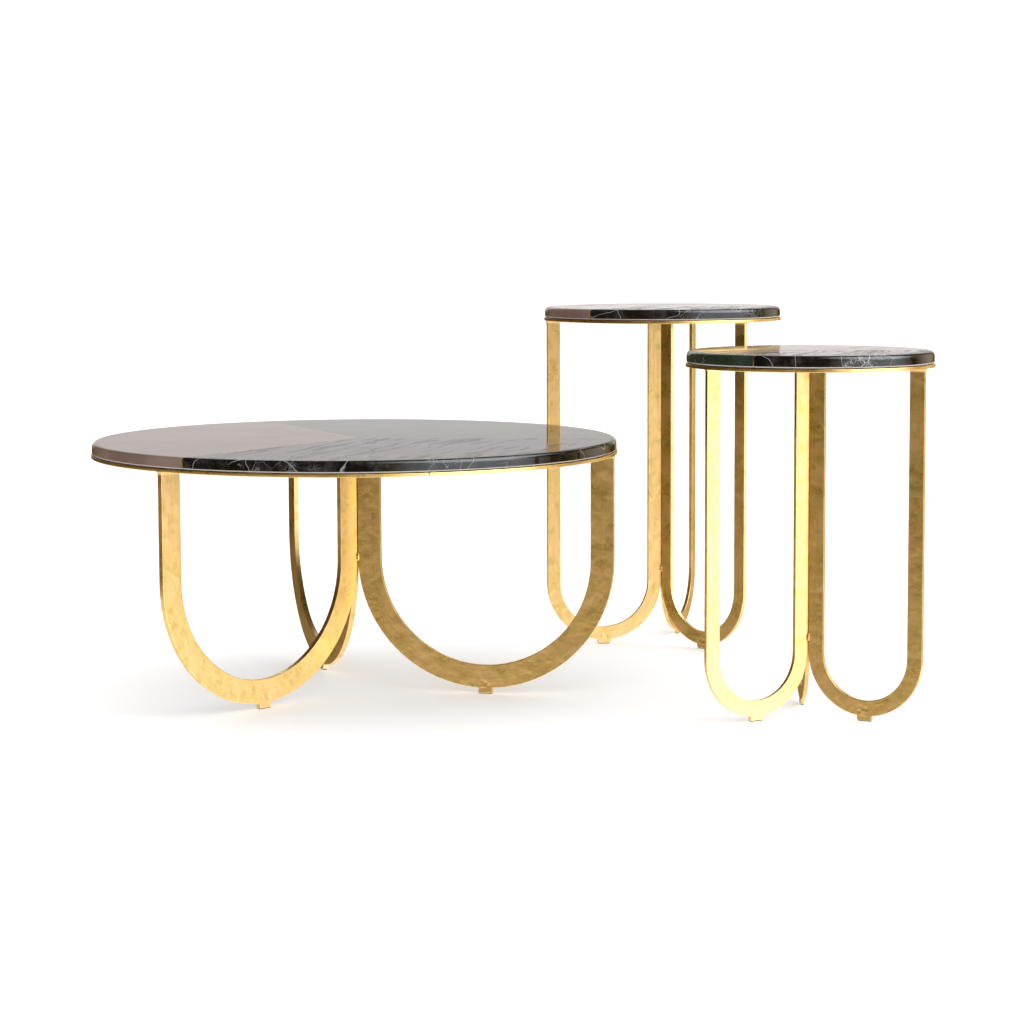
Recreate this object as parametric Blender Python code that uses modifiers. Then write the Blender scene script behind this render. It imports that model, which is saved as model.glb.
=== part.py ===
"""Nesting set of three free-standing round tables: a low coffee table and two side tables.

Every table is the same design at its own size. A polished stone top in three sectors, with
brass strips in the seams, is bonded to a dark backing board. The board sits inside a slim brass
hoop on a three-armed spider, and three U-shaped loops of flat brass bar carry them. The loops
stand at 120 degrees, meet at the table's centre, and rest on a foot tab and a glide each.

Units are metres, +Z is up, the floor is at Z = 0, and the origin is on the floor at the middle
of the set.
"""

import math
from dataclasses import dataclass

import bmesh
import bpy
from mathutils import Matrix

COLLECTION = "nesting_tables"
THIRD = math.radians(120)       # the angle between seams, and between loops
GAP = 0.0003                    # clearance between pieces that touch

# Stone top
STONE_THICKNESS = 0.0195
STONE_EDGE_RADIUS = 0.008       # rounded top edge
STONE_ARRIS = 0.002             # chamfer along the bottom edge
EDGE_STEPS = 3                  # facets in the rounded edge
STRIP_WIDTH = 0.002             # brass strip in each seam

# Frame under the stone
STONE_LIFT = 0.0012             # shadow line between the hoop and the stone
HOOP_HEIGHT = 0.0052
HOOP_WALL = 0.008
HOOP_PROUD = 0.0015             # how far the hoop stands out past the stone
SPIDER_THICKNESS = 0.002

# Loops of flat bar
LEG_INSET = 0.001               # outer leg's edge, inside the hoop's outer face
LOOP_STANDOFF = 0.0008          # keeps the three inner legs apart at the centre
LOOP_STEPS = 32                 # facets in half a circle

# Centre tie between the inner legs
TIE_PIN_RADIUS = 0.0018
TIE_HEIGHT = 0.010
TIE_BEAD_RADIUS = 0.0022
TIE_BEAD_STRETCH = 2.7          # bead's height over its width

# Foot tabs and glides
FOOT_WIDTH = 0.025
FOOT_FLARE = 0.0015             # extra width at each side where the tab joins the loop
FOOT_STEPS = 6
GLIDE_THICKNESS = 0.0012
GLIDE_INSET = 0.0008            # glide's edge, inside the tab's edge

# Screws through the spider into the board
SCREW_HEAD_RADIUS = 0.004
SCREW_HEAD_HEIGHT = 0.0022
SCREW_CROWN = 0.6               # flat of the head over its width
SCREW_SHANK_RADIUS = 0.0017
SCREW_BITE = 0.0025             # length in the board
SCREW_STEPS = 12
HOLE_STEPS = 16

# Where the side tables stand, from the coffee table's centre
TALL_TABLE_AT = (0.559, 0.5105)
LOW_TABLE_AT = (0.754, -0.250)


@dataclass(frozen=True)
class Table:
    """The sizes that one table has to itself."""

    name: str
    top_radius: float
    height: float
    bar_width: float
    bar_thickness: float
    foot_height: float          # floor to the lowest point of a loop
    arm_width: float            # spider arm
    hub_radius: float           # spider hub
    tie_rise: float             # middle of the tie, above the lower end of the straight legs
    first_loop: float           # direction of the first loop, from +X
    first_seam: float           # direction of the seam that starts the first sector
    stones: tuple               # the three sectors' stones, counterclockwise from that seam
    steps: int                  # facets around the top
    at: tuple                   # centre, from the coffee table's centre

    @property
    def stone_bottom(self):
        return self.height - STONE_THICKNESS

    @property
    def hoop_top(self):
        return self.stone_bottom - STONE_LIFT

    @property
    def hoop_bottom(self):
        return self.hoop_top - HOOP_HEIGHT

    @property
    def hoop_radius(self):
        return self.top_radius + HOOP_PROUD

    @property
    def inside_hoop(self):
        """Largest radius that stays clear of the hoop's facets on the inside."""
        return (self.hoop_radius - HOOP_WALL) * math.cos(math.pi / self.steps) - GAP

    @property
    def loop_inner(self):
        """Radius of the inner legs' inner edges: three bars just clear each other there."""
        return self.bar_thickness / 2 / math.tan(THIRD / 2) + LOOP_STANDOFF

    @property
    def loop_outer(self):
        return self.hoop_radius - LEG_INSET

    @property
    def loop_middle(self):
        return (self.loop_inner + self.loop_outer) / 2

    @property
    def bend_radius(self):
        return (self.loop_outer - self.loop_inner) / 2

    @property
    def bend_height(self):
        return self.foot_height + self.bend_radius


TABLES = (
    Table("coffee", top_radius=0.450, height=0.440, bar_width=0.040, bar_thickness=0.009,
          foot_height=0.010, arm_width=0.030, hub_radius=0.045, tie_rise=0.0,
          first_loop=229.5, first_seam=116.0, stones=("taupe", "black", "green"), steps=96,
          at=(0.0, 0.0)),
    Table("tall", top_radius=0.225, height=0.650, bar_width=0.0255, bar_thickness=0.0065,
          foot_height=0.008, arm_width=0.022, hub_radius=0.032, tie_rise=0.025,
          first_loop=190.0, first_seam=110.5, stones=("taupe", "black", "green"), steps=60,
          at=TALL_TABLE_AT),
    Table("low", top_radius=0.200, height=0.600, bar_width=0.0255, bar_thickness=0.0065,
          foot_height=0.008, arm_width=0.022, hub_radius=0.032, tie_rise=0.023,
          first_loop=208.8, first_seam=117.4, stones=("green", "black", "taupe"), steps=60,
          at=LOW_TABLE_AT),
)


# ---------------------------------------------------------------- Blender helpers

def clear_scene():
    """Removes the objects of the open scene."""
    for old in list(bpy.data.objects):
        bpy.data.objects.remove(old, do_unlink=True)


def new_collection(name):
    collection = bpy.data.collections.new(name)
    bpy.context.scene.collection.children.link(collection)
    return collection


def new_material(name, colour, roughness, metallic=0.0):
    """A Principled material with one colour."""
    material = bpy.data.materials.new(name)
    material.use_nodes = True
    shader = material.node_tree.nodes["Principled BSDF"]
    shader.inputs["Base Color"].default_value = (*colour, 1.0)
    shader.inputs["Roughness"].default_value = roughness
    shader.inputs["Metallic"].default_value = metallic
    return material


def add_object(name, data, collection, parent=None, material=None):
    piece = bpy.data.objects.new(name, data)
    collection.objects.link(piece)
    piece.parent = parent
    if material:
        data.materials.append(material)
    return piece


def bmesh_data(name, build):
    """Mesh data filled by build, a function that adds geometry to an empty bmesh."""
    shape = bmesh.new()
    build(shape)
    data = bpy.data.meshes.new(name)
    shape.to_mesh(data)
    shape.free()
    return data


def box_data(name, low, high):
    """A box between two corners."""
    size = [b - a for a, b in zip(low, high)]
    middle = [(a + b) / 2 for a, b in zip(low, high)]
    place = Matrix.Translation(middle) @ Matrix.Diagonal((*size, 1.0))
    return bmesh_data(name, lambda shape: bmesh.ops.create_cube(shape, size=1.0, matrix=place))


def rod_data(name, radius, low, high, steps):
    """A round rod along Z between two heights."""
    def build(shape):
        bmesh.ops.create_cone(shape, cap_ends=True, segments=steps, radius1=radius,
                              radius2=radius, depth=high - low,
                              matrix=Matrix.Translation((0, 0, (low + high) / 2)))
    return bmesh_data(name, build)


def turned_data(name, profile, closed):
    """The (radius, height) points of a turned shape's profile, joined by edges."""
    def build(shape):
        points = [shape.verts.new((radius, 0.0, height)) for radius, height in profile]
        for start, end in zip(points, points[1:]):
            shape.edges.new((start, end))
        if closed:
            shape.edges.new((points[-1], points[0]))
    return bmesh_data(name, build)


def turn(piece, steps):
    """Sweeps a profile once round Z."""
    screw = piece.modifiers.new("turn", "SCREW")
    screw.axis = "Z"
    screw.angle = math.tau
    screw.steps = screw.render_steps = steps
    screw.use_merge_vertices = True
    screw.merge_threshold = 0.00001
    return piece


def plate_data(name, outlines, thickness):
    """A flat plate in its own XY plane: the first outline is its edge, the others are holes."""
    data = bpy.data.curves.new(name, "CURVE")
    data.dimensions = "2D"
    data.fill_mode = "BOTH"
    data.extrude = thickness / 2
    for outline in outlines:
        spline = data.splines.new("POLY")
        spline.points.add(len(outline) - 1)
        for point, (x, y) in zip(spline.points, outline):
            point.co = (x, y, 0.0, 1.0)
        spline.use_cyclic_u = True
    return data


def boolean(piece, other, operation):
    change = piece.modifiers.new(operation.lower(), "BOOLEAN")
    change.operation = operation
    change.object = other


def as_cutter(piece):
    piece.hide_render = True
    piece.display_type = "WIRE"
    return piece


def arc(centre, radius, start, end, steps):
    """Points along an arc, both ends included."""
    angles = [start + (end - start) * i / steps for i in range(steps + 1)]
    return [(centre[0] + radius * math.cos(a), centre[1] + radius * math.sin(a)) for a in angles]


def polar(radius, angle):
    return radius * math.cos(angle), radius * math.sin(angle)


# ---------------------------------------------------------------- one table

class TableBuilder:
    """Builds the pieces of one table under an empty at the table's centre."""

    def __init__(self, table, centre, parts, cutters, materials):
        self.table = table
        self.parts = parts
        self.cutters = cutters
        self.materials = materials
        self.stand = bpy.data.objects.new(f"{table.name}_table", None)
        self.stand.location = (*centre, 0.0)
        parts.objects.link(self.stand)

    def add(self, name, data, material):
        piece = f"{self.table.name}_{name}"
        return add_object(piece, data, self.parts, self.stand, self.materials[material])

    def cutter(self, name, data):
        piece = f"cut_{self.table.name}_{name}"
        return as_cutter(add_object(piece, data, self.cutters, self.stand))

    def loop_angle(self, number):
        return math.radians(self.table.first_loop) + THIRD * number

    def seam_angle(self, number):
        return math.radians(self.table.first_seam) + THIRD * number

    # The stone top ------------------------------------------------

    def top_profile(self):
        """Half outline of the whole stone top, down its outer side."""
        table = self.table
        shoulder = (table.top_radius - STONE_EDGE_RADIUS, table.height - STONE_EDGE_RADIUS)
        edge = arc(shoulder, STONE_EDGE_RADIUS, math.pi / 2, 0.0, EDGE_STEPS)
        arris = [(table.top_radius, table.stone_bottom + STONE_ARRIS),
                 (table.top_radius - STONE_ARRIS, table.stone_bottom)]
        return [(0.0, table.height), *edge, *arris, (0.0, table.stone_bottom)]

    def build_stones(self):
        """Three sectors, each the turned top with what lies past its two seams cut away."""
        table = self.table
        far = 2 * table.top_radius
        low, high = table.stone_bottom - GAP, table.height + GAP
        margin = STRIP_WIDTH / 2 + GAP
        for number, stone in enumerate(table.stones):
            data = turned_data("stone", self.top_profile(), closed=False)
            sector = turn(self.add(f"stone_{stone}", data, stone), table.steps)
            for end, (near, away) in enumerate(((-far, margin), (-margin, far))):
                name = f"seam_{number + 1}_{end + 1}"
                block = self.cutter(name, box_data(name, (-far, near, low), (far, away, high)))
                block.rotation_euler.z = self.seam_angle(number + end)
                boolean(sector, block, "DIFFERENCE")

    def build_seam_strips(self):
        """One three-armed strip of brass that fills the seams, trimmed to the top's profile."""
        table = self.table
        half = STRIP_WIDTH / 2
        low, high = table.stone_bottom - GAP, table.height + GAP
        corners = (0.0, -half, low), (2 * table.top_radius, half, high)
        strips = self.add("seam_strips", box_data("seam_strip", *corners), "brass")
        strips.rotation_euler.z = self.seam_angle(0)
        for number in (1, 2):
            arm = self.cutter(f"strip_{number + 1}", box_data("seam_strip", *corners))
            arm.rotation_euler.z = self.seam_angle(number)
            boolean(strips, arm, "UNION")
        whole = self.cutter("whole_top", turned_data("top", self.top_profile(), closed=False))
        boolean(strips, turn(whole, table.steps), "INTERSECT")

    # The frame under the stone ------------------------------------

    def build_hoop(self):
        table = self.table
        inner, outer = table.hoop_radius - HOOP_WALL, table.hoop_radius
        profile = [(inner, table.hoop_top), (outer, table.hoop_top),
                   (outer, table.hoop_bottom), (inner, table.hoop_bottom)]
        turn(self.add("hoop", turned_data("hoop", profile, closed=True), "brass"), table.steps)

    def build_spider(self):
        """A flat plate with a hub, an arm over each loop and a screw hole in each arm."""
        table = self.table
        half = table.arm_width / 2
        root = math.asin(half / table.hub_radius)
        reach = math.sqrt(table.inside_hoop ** 2 - half ** 2)
        outline = []
        for number in range(3):
            angle = self.loop_angle(number)
            for across in (-half, half):
                outline.append(polar(math.hypot(reach, across), angle + math.atan2(across, reach)))
            hub = arc((0, 0), table.hub_radius, angle + root, angle + THIRD - root, 4)
            outline.extend(hub)
        hole = SCREW_SHANK_RADIUS + GAP
        holes = [arc(polar(table.loop_middle, self.loop_angle(number)), hole, 0.0,
                     math.tau * (1 - 1 / HOLE_STEPS), HOLE_STEPS - 1) for number in range(3)]
        data = plate_data("spider", [outline, *holes], SPIDER_THICKNESS)
        spider = self.add("spider", data, "brass")
        spider.location.z = table.hoop_bottom + SPIDER_THICKNESS / 2

    def build_board(self):
        """The backing board, with a blind hole for each screw."""
        table = self.table
        low = table.hoop_bottom + SPIDER_THICKNESS + GAP
        high = table.stone_bottom - GAP
        data = rod_data("backing_board", table.inside_hoop, low, high, table.steps)
        board = self.add("backing_board", data, "board")
        hole = SCREW_SHANK_RADIUS + GAP
        for number in range(3):
            drill = self.cutter(f"screw_hole_{number + 1}",
                                rod_data("drill", hole, low - GAP, low + SCREW_BITE + GAP, HOLE_STEPS))
            x, y = polar(table.loop_middle, self.loop_angle(number))
            drill.location = (x, y, 0.0)
            boolean(board, drill, "DIFFERENCE")

    def build_screws(self):
        table = self.table
        head_top = table.hoop_bottom - GAP
        tip = table.hoop_bottom + SPIDER_THICKNESS + GAP + SCREW_BITE
        head = [(SCREW_HEAD_RADIUS, head_top),
                (SCREW_HEAD_RADIUS, head_top - SCREW_HEAD_HEIGHT / 2),
                (SCREW_HEAD_RADIUS * SCREW_CROWN, head_top - SCREW_HEAD_HEIGHT)]
        profile = [(0.0, tip), (SCREW_SHANK_RADIUS, tip), (SCREW_SHANK_RADIUS, head_top), *head,
                   (0.0, head_top - SCREW_HEAD_HEIGHT)]
        for number in range(3):
            data = turned_data("screw", profile, closed=False)
            screw = turn(self.add(f"screw_{number + 1}", data, "steel"), SCREW_STEPS)
            x, y = polar(table.loop_middle, self.loop_angle(number))
            screw.location = (x, y, 0.0)

    # Loops, tie and feet ------------------------------------------

    def upright(self, piece, number):
        """Stands a flat plate up in the vertical plane of a loop."""
        piece.rotation_euler = (math.pi / 2, 0.0, self.loop_angle(number))

    def loop_outline(self):
        """A U: straight legs joined by half a circle, drawn with height as the plate's Y."""
        table = self.table
        top = table.hoop_bottom - GAP
        bend = table.loop_middle, table.bend_height
        outer = arc(bend, table.bend_radius, math.pi, math.tau, LOOP_STEPS)
        inner = arc(bend, table.bend_radius - table.bar_width, math.tau, math.pi, LOOP_STEPS)
        return [(outer[0][0], top), *outer, (outer[-1][0], top),
                (inner[0][0], top), *inner, (inner[-1][0], top)]

    def build_loops(self):
        for number in range(3):
            data = plate_data("loop", [self.loop_outline()], self.table.bar_thickness)
            self.upright(self.add(f"loop_{number + 1}", data, "brass"), number)

    def build_centre_tie(self):
        """A pin between the inner legs, with a web and a bead in each of the three grooves."""
        table = self.table
        middle = table.bend_height + table.tie_rise
        low, high = middle - TIE_HEIGHT / 2, middle + TIE_HEIGHT / 2
        half_web = LOOP_STANDOFF * math.sin(THIRD / 2) - GAP
        bead_at = (table.bar_thickness / 2 + TIE_BEAD_RADIUS + GAP) / math.sin(THIRD / 2)
        tie = self.add("centre_tie", rod_data("pin", TIE_PIN_RADIUS, low, high, HOLE_STEPS), "brass")
        stretch = Matrix.Diagonal((1.0, 1.0, TIE_BEAD_STRETCH, 1.0))
        place = Matrix.Translation((bead_at, 0.0, middle)) @ stretch
        for number in range(3):
            groove = self.loop_angle(number) + THIRD / 2
            web = self.cutter(f"web_{number + 1}", box_data(
                "web", (0.0, -half_web, low + GAP), (bead_at, half_web, high - GAP)))
            bead = self.cutter(f"bead_{number + 1}", bmesh_data(
                "bead", lambda shape: bmesh.ops.create_uvsphere(
                    shape, u_segments=10, v_segments=8, radius=TIE_BEAD_RADIUS, matrix=place)))
            for lobe in (web, bead):
                lobe.rotation_euler.z = groove
                boolean(tie, lobe, "UNION")

    def build_feet(self):
        """A tab that fills the space under each loop's lowest point, and a glide under it."""
        table = self.table
        half = FOOT_WIDTH / 2
        bend = table.loop_middle, table.bend_height
        radius = table.bend_radius + GAP
        spread = math.asin((half + FOOT_FLARE) / radius)
        seat = arc(bend, radius, -math.pi / 2 + spread, -math.pi / 2 - spread, FOOT_STEPS)
        bottom = GLIDE_THICKNESS + GAP
        corners = [(table.loop_middle - half, bottom), (table.loop_middle + half, bottom)]
        for number in range(3):
            data = plate_data("foot", [[*corners, *seat]], table.bar_thickness)
            self.upright(self.add(f"foot_{number + 1}", data, "brass"), number)
            self.build_glide(number)

    def build_glide(self, number):
        table = self.table
        reach = FOOT_WIDTH / 2 - GLIDE_INSET
        half = table.bar_thickness / 2 - GLIDE_INSET
        data = box_data("glide", (table.loop_middle - reach, -half, 0.0),
                        (table.loop_middle + reach, half, GLIDE_THICKNESS))
        glide = self.add(f"glide_{number + 1}", data, "felt")
        glide.rotation_euler.z = self.loop_angle(number)

    def build(self):
        self.build_stones()
        self.build_seam_strips()
        self.build_board()
        self.build_hoop()
        self.build_spider()
        self.build_screws()
        self.build_loops()
        self.build_centre_tie()
        self.build_feet()


def middle_of_set(axis):
    """Middle of the three hoops along one axis, from the coffee table's centre."""
    low = min(table.at[axis] - table.hoop_radius for table in TABLES)
    high = max(table.at[axis] + table.hoop_radius for table in TABLES)
    return (low + high) / 2


def main():
    clear_scene()
    parts = new_collection(COLLECTION)
    cutters = new_collection(f"{COLLECTION}_cutters")
    materials = {
        "taupe": new_material("stone_taupe", (0.36, 0.29, 0.26), 0.15),
        "black": new_material("stone_black", (0.015, 0.016, 0.018), 0.10),
        "green": new_material("stone_green", (0.03, 0.06, 0.045), 0.12),
        "brass": new_material("brass", (0.80, 0.60, 0.25), 0.30, metallic=1.0),
        "board": new_material("backing_board", (0.03, 0.025, 0.02), 0.80),
        "steel": new_material("screw_steel", (0.55, 0.55, 0.55), 0.35, metallic=1.0),
        "felt": new_material("glide", (0.05, 0.045, 0.04), 0.90),
    }
    middle = middle_of_set(0), middle_of_set(1)
    for table in TABLES:
        centre = [place - offset for place, offset in zip(table.at, middle)]
        TableBuilder(table, centre, parts, cutters, materials).build()


main()
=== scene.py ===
"""Looks for a nesting set of three round tables with stone tops and satin brass frames.

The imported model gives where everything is. Each table is dressed by three sub-assemblies: the
stone top with its brass seam strips, the frame under it, and the three loops that it stands on.
Lengths are in metres, +Z is up and the floor is at Z = 0.
"""

import logging
import math
from dataclasses import dataclass, field
from enum import Enum
from itertools import product
from typing import Any, ClassVar

import bmesh
import bpy
import numpy as np
from mathutils import Matrix, Vector


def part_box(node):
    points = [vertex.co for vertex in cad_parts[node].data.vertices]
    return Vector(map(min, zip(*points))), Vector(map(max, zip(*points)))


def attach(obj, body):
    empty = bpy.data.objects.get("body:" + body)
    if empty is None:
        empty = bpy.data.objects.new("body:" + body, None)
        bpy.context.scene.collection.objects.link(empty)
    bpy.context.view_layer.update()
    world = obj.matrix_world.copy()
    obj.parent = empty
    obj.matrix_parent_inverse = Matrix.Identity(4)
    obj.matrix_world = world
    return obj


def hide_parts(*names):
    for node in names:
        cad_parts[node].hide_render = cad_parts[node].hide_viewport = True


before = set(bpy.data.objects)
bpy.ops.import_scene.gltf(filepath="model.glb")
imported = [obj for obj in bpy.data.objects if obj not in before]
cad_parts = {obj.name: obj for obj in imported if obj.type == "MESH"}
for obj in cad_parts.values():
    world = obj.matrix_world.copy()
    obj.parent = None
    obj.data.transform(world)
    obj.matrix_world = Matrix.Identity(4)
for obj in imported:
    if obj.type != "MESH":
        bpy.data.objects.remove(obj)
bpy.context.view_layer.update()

log = logging.getLogger("nesting_tables")

Colour = tuple[float, float, float]

THIRD = 2 * math.pi / 3
MM = 0.001
RUN_MAP = "run"                 # UV map: metres along and across each piece
ARRIS_HIGHLIGHT_MASK = "arris"                 # attribute: 1 on the stone's bottom chamfer, where a pale painted highlight goes


class Stone(Enum):
    """The three polished stones; each value is its node ending."""

    TAUPE = "stone_taupe"
    BLACK = "stone_black"
    GREEN = "stone_green"


# ------------------------------------------------------------------ surfaces

def smooth_noise(points: np.ndarray, cell: float, seed: int) -> np.ndarray:
    """Random values that change smoothly over space.

    A lattice holds a random number every `cell` metres. A point takes the eight corners around
    it, weighted by 3t^2 - 2t^3 of its place t between them along each axis.

    Args:
        points: places to read, shape (..., 3).
        cell: lattice spacing.
        seed: picks the lattice.

    Returns:
        Values from -1 to 1, shape (...).
    """
    size = 32
    lattice = np.random.default_rng(seed).uniform(-1.0, 1.0, (size, size, size))
    place = points / cell
    corner = np.floor(place).astype(int)
    part = place - corner
    part = part * part * (3.0 - 2.0 * part)
    total = np.zeros(points.shape[:-1])
    for step in product((0, 1), repeat=3):
        weight = np.prod(np.where(np.array(step) == 1, part, 1.0 - part), axis=-1)
        x, y, z = np.moveaxis((corner + np.array(step)) % size, -1, 0)
        total += weight * lattice[x, y, z]
    return total


def bell(distance: np.ndarray, reach: float) -> np.ndarray:
    """exp(-(distance / reach)^2), for dents and beads."""
    return np.exp(-((distance / reach) ** 2))


def rotated(points: np.ndarray, angle: float) -> np.ndarray:
    """Points in a plane, shape (n, 2), turned counterclockwise about the origin."""
    cosine, sine = math.cos(angle), math.sin(angle)
    return points @ np.array([[cosine, sine], [-sine, cosine]])


def straight_run(length: float, pitch: float, support: float) -> np.ndarray:
    """Places along a side, centred on 0: evenly spaced, and one close to each end.

    Args:
        length: the side's length.
        pitch: spacing of the even places.
        support: distance of the extra places from the ends.

    Returns:
        The places in rising order.
    """
    count = max(2, round(length / pitch) + 1)
    even = np.linspace(-length / 2, length / 2, count)
    near = np.array([support - length / 2, length / 2 - support])
    return np.unique(np.round(np.concatenate([even, near]), 7))


def eased_rectangle(width: float, height: float, ease: float, pitch: float,
                    steps: int = 4) -> np.ndarray:
    """Counterclockwise outline of a rectangle whose corners are quarter circles.

    Each side is a straight run at half the other side's length from the middle, followed by
    a quarter circle of radius `ease`; the four are the same shape turned by 90 degrees.

    Args:
        width: size along the first axis.
        height: size along the second axis.
        ease: corner radius.
        pitch: spacing of the points on the straight runs.
        steps: facets in a corner.

    Returns:
        Outline points, shape (n, 2).
    """
    turn = np.linspace(0.0, math.pi / 2, steps + 1)[1:-1]
    sides = []
    for side in range(4):
        depth, length = (width, height) if side % 2 == 0 else (height, width)
        run = straight_run(length - 2 * ease, pitch, ease / 2)
        flat = np.column_stack([np.full(run.shape, depth / 2), run])
        corner = np.column_stack([depth / 2 - ease + ease * np.cos(turn),
                                  length / 2 - ease + ease * np.sin(turn)])
        sides.append(rotated(np.concatenate([flat, corner]), side * math.pi / 2))
    return np.concatenate(sides)


def outline_normals(outline: np.ndarray) -> np.ndarray:
    """Outward unit normals of a closed outline, at right angles to each point's neighbours.

    Args:
        outline: counterclockwise outline, shape (n, 2).

    Returns:
        Normals, shape (n, 2).
    """
    along = np.roll(outline, -1, axis=0) - np.roll(outline, 1, axis=0)
    normals = np.column_stack([along[:, 1], -along[:, 0]])
    return normals / np.linalg.norm(normals, axis=1, keepdims=True)


def perimeter(outline: np.ndarray) -> np.ndarray:
    """Distance along a closed outline to each point, ending with the whole length."""
    steps = np.linalg.norm(np.roll(outline, -1, axis=0) - outline, axis=1)
    return np.concatenate([[0.0], np.cumsum(steps)])


@dataclass
class Surface:
    """A grid of points, point [i, j] being at run i and station j around, closed around.

    Attributes:
        points: shape (rows, columns, 3).
        along: the first UV number of each row, and one more where the rows close.
        across: the second UV number of each column, and one more where the columns close.
        ring: whether the last row joins the first, as in a hoop; if not, the ends get a face.
    """

    points: np.ndarray
    along: np.ndarray
    across: np.ndarray
    ring: bool = False

    def build(self, name: str, crease: float = 40.0) -> bpy.types.Object:
        """Makes the mesh object.

        Quad (i, j) joins points [i, j], [i, j+1], [i+1, j+1] and [i+1, j]. The order of the
        corners is turned round if the enclosed volume comes out negative.

        Args:
            name: the piece's name.
            crease: edges that bend by more degrees than this are shaded sharp.

        Returns:
            The new object, at the origin.
        """
        rows, columns = self.points.shape[:2]
        points = self.points.reshape(-1, 3)
        first, second = np.meshgrid(np.arange(rows if self.ring else rows - 1),
                                    np.arange(columns), indexing="ij")
        first, second = first.ravel(), second.ravel()
        corners_i = np.stack([first, first, first + 1, first + 1], axis=1)
        corners_j = np.stack([second, second + 1, second + 1, second], axis=1)
        quads = (corners_i % rows) * columns + corners_j % columns
        uv = np.stack([self.along[corners_i], self.across[corners_j]], axis=-1)
        ends = []
        if not self.ring:
            start = np.arange(columns)
            ends = [start, (rows - 1) * columns + start[::-1]]
        a, b, c, d = (points[quads[:, k]] for k in range(4))
        volume = np.einsum("ij,ij->", a, np.cross(b, c)) + np.einsum("ij,ij->", a, np.cross(c, d))
        for end in ends:
            p, q, r = points[end[0]], points[end[1:-1]], points[end[2:]]
            volume += np.sum(np.cross(q, r) @ p)
        if volume < 0:
            quads, uv = quads[:, ::-1], uv[:, ::-1]
            ends = [end[::-1] for end in ends]
        mesh = bpy.data.meshes.new(name)
        mesh.from_pydata(points.tolist(), [], quads.tolist() + [end.tolist() for end in ends])
        layer = mesh.uv_layers.new(name=RUN_MAP)
        end_uv = [np.zeros((len(end), 2)) for end in ends]
        layer.data.foreach_set("uv", np.concatenate([uv.reshape(-1, 2), *end_uv]).ravel())
        mesh.shade_smooth()
        mesh.set_sharp_from_angle(angle=math.radians(crease))
        piece = bpy.data.objects.new(name, mesh)
        bpy.context.scene.collection.objects.link(piece)
        return piece


def merged(name: str, pieces: list[bpy.types.Object]) -> bpy.types.Object:
    """Joins separate closed shells into one piece.

    Args:
        name: the piece's name.
        pieces: objects to join; they are used up.

    Returns:
        The joined object.
    """
    with bpy.context.temp_override(active_object=pieces[0], selected_editable_objects=pieces):
        bpy.ops.object.join()
    pieces[0].name = name
    pieces[0].data.name = name
    return pieces[0]


def plate(outline: np.ndarray, thickness: float, ease: float) -> np.ndarray:
    """Grid of a flat plate with eased edges, centred on its thickness.

    Row k is the outline moved in along its normals by ease * (1 - sin a) and up or down by
    thickness / 2 - ease * (1 - cos a), for angles a that run over one edge and then the other.

    Args:
        outline: counterclockwise outline, shape (n, 2).
        thickness: distance between the flat faces.
        ease: radius of the edges.

    Returns:
        Points as (first axis, second axis, height), shape (rows, n, 3).
    """
    turn = np.linspace(0.0, math.pi / 2, 4)
    inset = ease * (1 - np.concatenate([np.sin(turn), np.sin(turn[::-1])]))
    rise = thickness / 2 - ease * (1 - np.cos(turn))
    height = np.concatenate([rise, -rise[::-1]])
    inset = np.concatenate([[2 * ease], inset, [2 * ease]])
    height = np.concatenate([[thickness / 2], height, [-thickness / 2]])
    flat = outline[None] - inset[:, None, None] * outline_normals(outline)[None]
    return np.concatenate([flat, np.broadcast_to(height[:, None, None], (*flat.shape[:2], 1))],
                          axis=2)


# ------------------------------------------------------------------ finishes

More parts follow.
